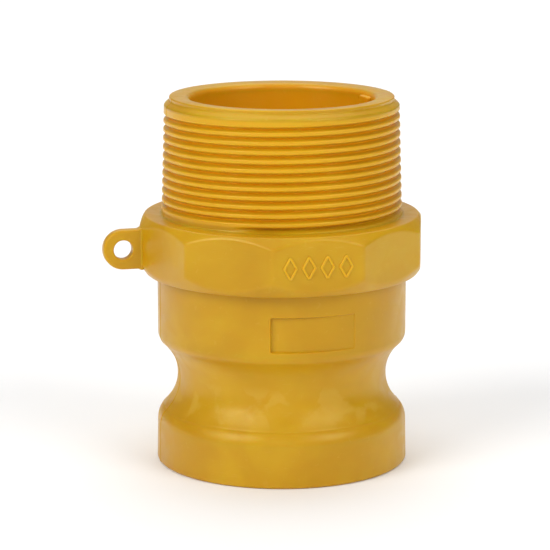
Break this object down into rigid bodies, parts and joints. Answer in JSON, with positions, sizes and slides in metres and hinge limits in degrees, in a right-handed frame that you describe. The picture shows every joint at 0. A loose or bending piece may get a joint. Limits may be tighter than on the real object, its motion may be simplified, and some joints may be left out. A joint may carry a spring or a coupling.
{
  "type": "camlock coupling adapter",
  "caption": "Moulded plastic camlock adapter: a cam-groove nose, a faceted wrench collar with a chain lug, and a male taper pipe thread round a plain through bore.",
  "frame": {"origin": "on the flow bore's axis at the part's centre of mass, 46.5 mm above the nose face", "axes": "+Z along the flow bore from the cam-groove nose to the thread's mouth, -Y towards the front, where the raised marks and the recessed panel are just to the +X side, -X towards the chain lug"},
  "size_m": [0.0807, 0.0738, 0.0932],
  "materials": {
    "ochre_plastic": "satin moulded yellow-ochre polypropylene, slightly mottled"
  },
  "bodies": {
    "root": {"nose_ring": "ochre_plastic", "cam_groove": "ochre_plastic", "barrel": "ochre_plastic", "wrench_collar": "ochre_plastic", "chain_lug": "ochre_plastic", "pipe_thread": "ochre_plastic", "mouth_ring": "ochre_plastic", "bore_rib": "ochre_plastic", "flat_mark_1": "ochre_plastic", "flat_mark_2": "ochre_plastic", "flat_mark_3": "ochre_plastic", "flat_mark_4": "ochre_plastic"}
  },
  "joints": []
}
